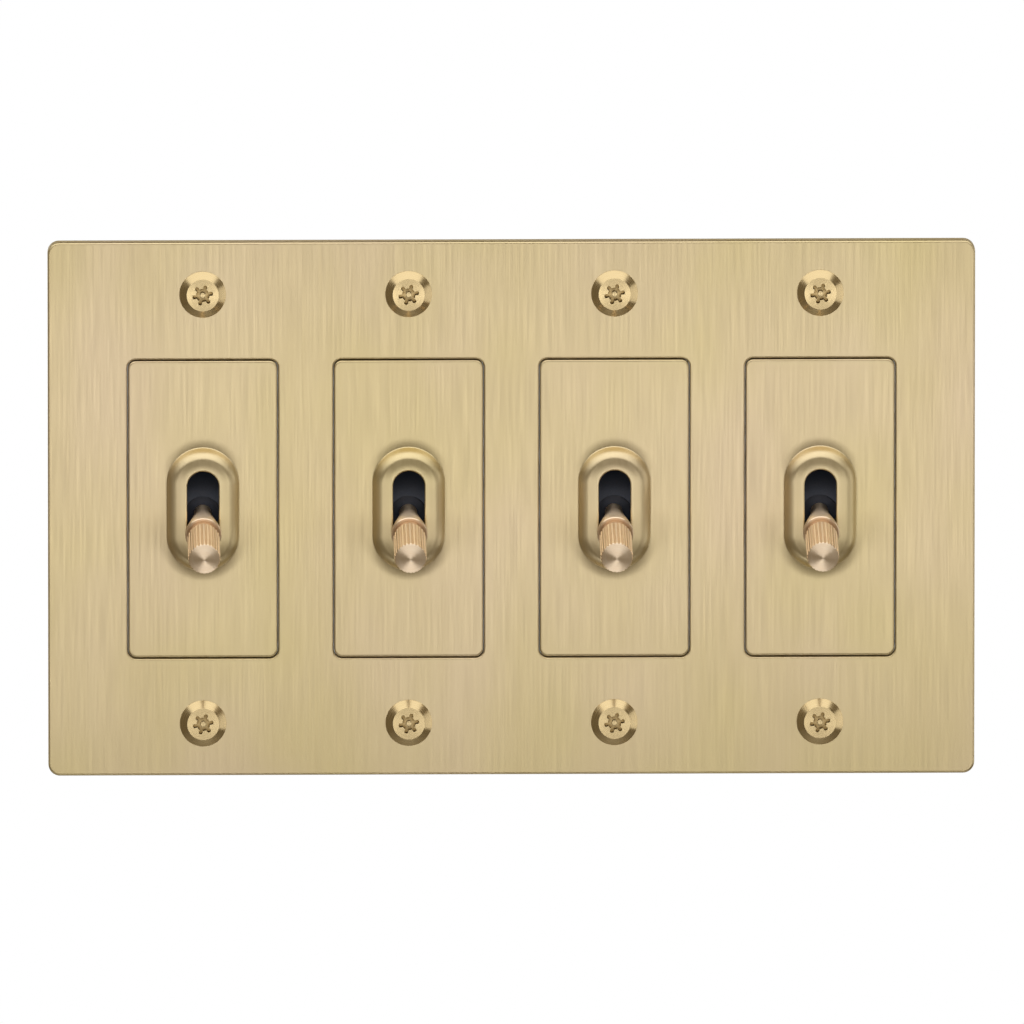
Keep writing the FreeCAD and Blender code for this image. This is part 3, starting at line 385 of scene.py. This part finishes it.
def round_steps():
    """Steps once round a rounded rectangle: the angle of each, and its corner centre's X and Z.

    The centres are shares of the half sizes. Along a side the centre moves and the angle stays, and
    round a corner the centre stays and the angle turns by 90 degrees.
    """
    sides = (
        (UPRIGHT_STEPS, (1, -1), (1, 1)),
        (LEVEL_STEPS, (1, 1), (-1, 1)),
        (UPRIGHT_STEPS, (-1, 1), (-1, -1)),
        (LEVEL_STEPS, (-1, -1), (1, -1)),
    )
    turn = np.linspace(0, 90, CORNER_STEPS, endpoint=False)
    angles, across, up = [], [], []
    for quarter, (steps, start, end) in enumerate(sides):
        share = np.linspace(0, 1, steps, endpoint=False)
        angles += [np.full(steps, 90.0 * quarter), 90.0 * quarter + turn]
        across += [start[0] + (end[0] - start[0]) * share, np.full(CORNER_STEPS, end[0])]
        up += [start[1] + (end[1] - start[1]) * share, np.full(CORNER_STEPS, end[1])]
    return np.radians(np.concatenate(angles)), np.concatenate(across), np.concatenate(up)


def outlines(profile, half_sizes, straight):
    """Rows (half width, half height, corner radius, level) of a profile of half widths and levels.

    Every row is as much taller than wide as the half sizes are, and its radius is w - straight.
    """
    taller = half_sizes[1] - half_sizes[0]
    return [(w, w + taller, w - straight, level) for w, level in profile]


def insert_rows():
    """Rows of outlines from the insert's back edge over its front, up the boss and into the slot.

    The boss rises out of a run-out that is nearly flat, over a tight foot, a drafted flank and a
    large shoulder, to a land that still rises a little. The lip then turns down into the slot, and
    behind the slot is the pocket for the cradle.
    """
    wide, slot_wide = INSERT_HALF[0], SLOT_HALF[0]
    edge = arc((wide - EDGE_ROUND, PLATE_LEVEL - EDGE_ROUND), EDGE_ROUND, 0, 90, 5)
    run_out = arc((10.63, PLATE_LEVEL + RUN_OUT), RUN_OUT, 270, 262, 12)
    foot = arc((8.279, 4.515), FOOT_ROUND, 262, 197, 8)[1:]
    shoulder = arc((5.24, 4.57), SHOULDER_ROUND, 17, 80, 20)
    lip = arc((slot_wide + LIP_ROUND, BOSS_LEVEL - LIP_ROUND), LIP_ROUND, 90, 180, 5)
    plate = [(wide, INSERT_BACK), *edge, (16.1, PLATE_LEVEL)]
    boss = [(10.8, PLATE_LEVEL), *run_out, *foot, *shoulder, (5.0, 7.25), (4.5, 7.34)]
    slot = [(3.95, BOSS_LEVEL), *lip, (slot_wide, POCKET_LEVEL)]
    return np.array([
        *outlines(plate, INSERT_HALF, wide - INSERT_CORNER),
        *outlines(boss, BOSS_HALF, END_FLAT),
        *outlines(slot, SLOT_HALF, END_FLAT),
        (*POCKET_HALF, POCKET_CORNER, POCKET_LEVEL),
        (*POCKET_HALF, POCKET_CORNER, INSERT_BACK),
    ])


def insert_surface(middle):
    """A tube of outlines closed on itself: x = middle + sx (w - r) + r cos a, z = sz (h - r) + r sin a.

    Its marks are X and Z, so that U grows sideways all over it.
    """
    angle, across, up = round_steps()
    half_width, half_height, radius, level = insert_rows().T[:, :, None]
    x = middle + across * (half_width - radius) + radius * np.cos(angle)
    z = up * (half_height - radius) + radius * np.sin(angle)
    y = np.broadcast_to(-level, x.shape)
    points = np.stack([x, y, z], -1).reshape(-1, 3)
    faces = row_faces(*x.shape, joined=True)
    marks = points[faces.ravel()][:, [0, 2]] / MARK_SPAN
    return points, [faces], marks


def make_inserts():
    """Each gang's insert and boss in one piece."""
    for gang in range(1, GANGS + 1):
        piece = new_piece(f"boss_plate_{gang}", *insert_surface(middle_of(gang)),
                          "frame", "brushed_brass", FINISHES["pressed_brass"])
        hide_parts(f"insert_plate_{gang}")


# Levers

REST_TILT = 13.5
PIVOT_DEPTH = 8.0
STEM_END = 3.2
TIP_END = 35.73
GROOVE_RADIUS = 3.2
BARREL_RADIUS = 3.6
BARREL_START = 22.3
FLUTES = 26
COLUMNS_PER_FLUTE = 14
FLUTE_CUTTER = 0.24
FLUTE_CENTRE = 3.62
# The flute depth at which the painted shade is full, and the share of painted shade in the groove behind
# the collar.
FULL_SHADE_DEPTH = 0.4
GROOVE_SHADE = 0.75


def lever_rows():
    """Radii of each row, heights along the axis from the pivot, and each point's share of painted shade.

    A flute is cut by a round cutter whose centre is just outside the barrel.
    """
    columns = FLUTES * COLUMNS_PER_FLUTE
    from_flute = from_nearest(np.arange(columns) * 2 * np.pi / columns, FLUTES)
    flute = reach(from_flute, FLUTE_CUTTER, FLUTE_CENTRE, side=-1, elsewhere=np.inf)
    stem = [(2.0, STEM_END), (2.0, 9.4), (2.02, 9.6)]
    cone_and_collar = [(3.98, 19.15), (4.05, 19.5), (4.05, 20.4), (3.92, 20.55)]
    groove = [(GROOVE_RADIUS, 20.55), (GROOVE_RADIUS, BARREL_START)]
    barrel_edge = [(3.25, BARREL_START), (3.4, 22.34), (3.52, 22.44), (BARREL_RADIUS, 22.65)]
    barrel = [(BARREL_RADIUS, height) for height in np.linspace(23.2, 34.2, 12)]
    tip_edge = [(BARREL_RADIUS, 34.65), (3.55, 34.82), (3.44, 34.95), (3.24, 35.0)]
    tip = [(3.1, 35.03), (1.5, 35.38)]
    profile = np.array(stem + cone_and_collar + groove + barrel_edge + barrel + tip_edge + tip)
    turned, height = profile.T
    radii = np.repeat(turned[:, None], columns, 1)
    fluted = height >= BARREL_START
    radii[fluted] = np.minimum(radii[fluted], flute)
    # Painted shade grows with the depth in a flute, and the groove behind the collar gets a fixed share
    # of it.
    shade_share = np.clip((turned[:, None] - radii) / FULL_SHADE_DEPTH, 0, 1)
    shade_share[turned == GROOVE_RADIUS] = GROOVE_SHADE
    return radii, np.array([STEM_END, *height, TIP_END]), np.append(shade_share.ravel(), [0.0, 0.0])


def make_levers():
    """Each lever's axis points forwards and REST_TILT below level, from a pivot behind the wall.

    A point (x, y, h) of the turned surface is turned about X by t = 90 degrees + tilt, which gives
    (x, y cos t - h sin t, y sin t + h cos t), and moved to the pivot.
    """
    radii, heights, hollow_skin_and_shade = lever_rows()
    points, faces, marks = turned_surface(radii, heights)
    turn = math.radians(90.0 + REST_TILT)
    forward = np.array([
        [1, 0, 0],
        [0, math.cos(turn), -math.sin(turn)],
        [0, math.sin(turn), math.cos(turn)],
    ])
    for gang in range(1, GANGS + 1):
        pivot = np.array([middle_of(gang), PIVOT_DEPTH, 0.0])
        piece = new_piece(f"dolly_{gang}", points @ forward.T + pivot, faces, marks,
                          f"dolly_{gang}", "turned_brass", FINISHES["turned_brass"], hollow_skin_and_shade)
        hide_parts(f"lever_{gang}")


# Plate screws

SCREW_UP = 48.42
SCREW_LENGTH = 10.0
SHANK_RADIUS = 1.7
SHANK_CHAMFER = 0.35
HEAD_RADIUS = 5.2
HEAD_RISE = 1.5
LOBES = 6
LOBE_TURN = 12.0
LOBE_CUTTER = 0.45
LOBE_CENTRE = 1.85
RECESS_RADIUS = 1.45
RECESS_FLOOR = 0.3
PIN_RADIUS = 0.6
SCREW_COLUMNS = 240


def screw_rows():
    """Radii of each row, heights from the plate's face, and each point's share of painted shade.

    The rows run along shank, coned head and disc into the recess and up its centre pin. The recess is
    a round hole with a lobe at each sixth, cut by a round cutter.
    """
    angle = np.arange(SCREW_COLUMNS) * 2 * np.pi / SCREW_COLUMNS
    from_lobe = from_nearest(angle, LOBES, math.radians(LOBE_TURN))
    lobe = reach(from_lobe, LOBE_CUTTER, LOBE_CENTRE, side=1, elsewhere=0.0)
    recess = np.maximum(lobe, RECESS_RADIUS)
    # A row's last number is its share of painted shade over a darker skin: full in the recess, less up
    # the pin.
    rows = (
        (SHANK_RADIUS - SHANK_CHAMFER, -SCREW_LENGTH, 0.0),
        (SHANK_RADIUS, SHANK_CHAMFER - SCREW_LENGTH, 0.0),
        (SHANK_RADIUS, 0.0, 0.0),
        (HEAD_RADIUS, 0.0, 0.0),
        (HEAD_RADIUS, 0.15, 0.0),
        (3.68, 1.43, 0.0),
        (3.58, HEAD_RISE, 0.0),
        (2.9, HEAD_RISE, 0.0),
        (recess + 0.05, HEAD_RISE, 0.0),
        (recess, 1.45, 1.0),
        (recess, RECESS_FLOOR, 1.0),
        (PIN_RADIUS, RECESS_FLOOR, 0.5),
        (PIN_RADIUS, 1.42, 0.1),
        (0.52, HEAD_RISE, 0.0),
    )
    radii = np.array([np.broadcast_to(radius, SCREW_COLUMNS) for radius, _, _ in rows])
    heights = np.array([-SCREW_LENGTH, *(height for _, height, _ in rows), HEAD_RISE])
    shade_share = np.repeat([shade_share for _, _, shade_share in rows], SCREW_COLUMNS)
    return radii, heights, np.append(shade_share, [0.0, 0.0])


def make_plate_screws():
    """Eight equal screws as one piece. A point (x, y, h) becomes (x, -h, y), moved to its place."""
    radii, heights, hollow_skin_and_shade = screw_rows()
    points, faces, marks = turned_surface(radii, heights)
    forward = np.array([[1, 0, 0], [0, 0, -1], [0, 1, 0]])
    places = np.array([
        (middle_of(gang), -PLATE_LEVEL, end * SCREW_UP)
        for gang in range(1, GANGS + 1) for end in (1, -1)
    ])
    screws = len(places)
    all_points = ((points @ forward.T)[None] + places[:, None]).reshape(-1, 3)
    all_faces = [part + len(points) * screw for screw in range(screws) for part in faces]
    piece = new_piece("security_screws", all_points, all_faces, np.tile(marks, (screws, 1)),
                      "frame", "turned_brass", FINISHES["screw_brass"], np.tile(hollow_skin_and_shade, screws))
    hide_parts("plate_screws")


make_inserts()
make_levers()
make_plate_screws()


# Stage


def stage_sheet(name, low, high, build):
    """A flat sheet between two opposite corners, level or facing Y."""
    corners = [low, (high[0], low[1], low[2]), high, (low[0], high[1], high[2])]
    mesh = bpy.data.meshes.new(name)
    mesh.from_pydata(corners, [], [(0, 1, 2, 3)])
    mesh.materials.append(finish_of(name, build))
    sheet = bpy.data.objects.new(name, mesh)
    bpy.context.scene.collection.objects.link(sheet)


def pale_paper(tree):
    """Uncoated paper: an even warm white with no gloss to speak of."""
    return add(tree, "ShaderNodeBsdfPrincipled", Base_Color=linear("#D9D6D0"), Roughness=0.8)


def white_backdrop(tree):
    """Pale paper that shows as plain white to the camera and in what mirrors it."""
    rays = add(tree, "ShaderNodeLightPath").outputs
    seen = add(tree, "ShaderNodeMath", {"operation": "MAXIMUM"},
               in0=rays["Is Camera Ray"], in1=rays["Is Glossy Ray"]).outputs[0]
    paper = pale_paper(tree).outputs[0]
    white = add(tree, "ShaderNodeEmission", Strength=1.0).outputs[0]
    return add(tree, "ShaderNodeMixShader", in0=seen, in1=paper, in2=white)


stage_sheet("floor", (-1.7, -1.7, -1.2), (1.7, 1.7, -1.2), pale_paper)
stage_sheet("backdrop", (-4.0, 12.0, -5.0), (4.0, 12.0, 1.2), white_backdrop)


# Light


def lamp(name, place, aim, size, radiance):
    """A soft panel that gives its radiance evenly: power = radiance x area x pi."""
    data = bpy.data.lights.new(name, "AREA")
    data.shape = "RECTANGLE"
    data.size, data.size_y = size
    data.energy = radiance * size[0] * size[1] * math.pi
    panel = bpy.data.objects.new(name, data)
    bpy.context.scene.collection.objects.link(panel)
    panel.location = place
    away = Vector(place) - Vector(aim)
    panel.rotation_euler = away.to_track_quat("Z", "Y").to_euler()
    panel.visible_camera = False


# The front panel fills the flat brass, the top panel and the right strip draw the highlights of
# bosses and levers, and the low panel lights the undersides. The back panel is for views from behind.
lamp("front_panel", place=(0, -0.85, -0.1), aim=(0, 0, -0.1), size=(1.2, 0.16), radiance=2.45)
lamp("top_panel", place=(-0.12, -0.36, 0.58), aim=(-0.12, -0.05, 0), size=(1.4, 0.95), radiance=1.55)
lamp("low_panel", place=(0, -0.42, -0.6), aim=(0, 0, 0), size=(0.3, 0.14), radiance=3.4)
lamp("right_strip", place=(0.9, -0.15, -0.06), aim=(0, 0, -0.06), size=(0.26, 0.8), radiance=1.8)
lamp("back_panel", place=(0, 1.6, -0.25), aim=(0, 0, 0), size=(3.6, 0.9), radiance=1.2)

world = bpy.data.worlds.new("studio")
bpy.context.scene.world = world
world.use_nodes = True
world.node_tree.nodes.clear()
room = add(world.node_tree, "ShaderNodeBackground", Color=linear("#7A6F5C"), Strength=1.0)
add(world.node_tree, "ShaderNodeOutputWorld", Surface=room.outputs[0])


# Camera

ELEVATION = math.radians(8.0)
AZIMUTH = math.radians(-1.3)
DISTANCE = 8.0
AIM = (0.0001, -0.004, -0.00085)
FRAME_WIDTH = 0.2291
SENSOR_WIDTH = 36.0

back = Vector((
    math.sin(AZIMUTH) * math.cos(ELEVATION),
    -math.cos(AZIMUTH) * math.cos(ELEVATION),
    math.sin(ELEVATION),
))
lens = bpy.data.cameras.new("camera")
lens.sensor_width = SENSOR_WIDTH
lens.lens = SENSOR_WIDTH * DISTANCE / FRAME_WIDTH
lens.clip_end = 60.0
camera = bpy.data.objects.new("camera", lens)
bpy.context.scene.collection.objects.link(camera)
camera.location = Vector(AIM) + back * DISTANCE
camera.rotation_euler = back.to_track_quat("Z", "Y").to_euler()
bpy.context.scene.camera = camera
bpy.context.scene.view_settings.view_transform = "Standard"
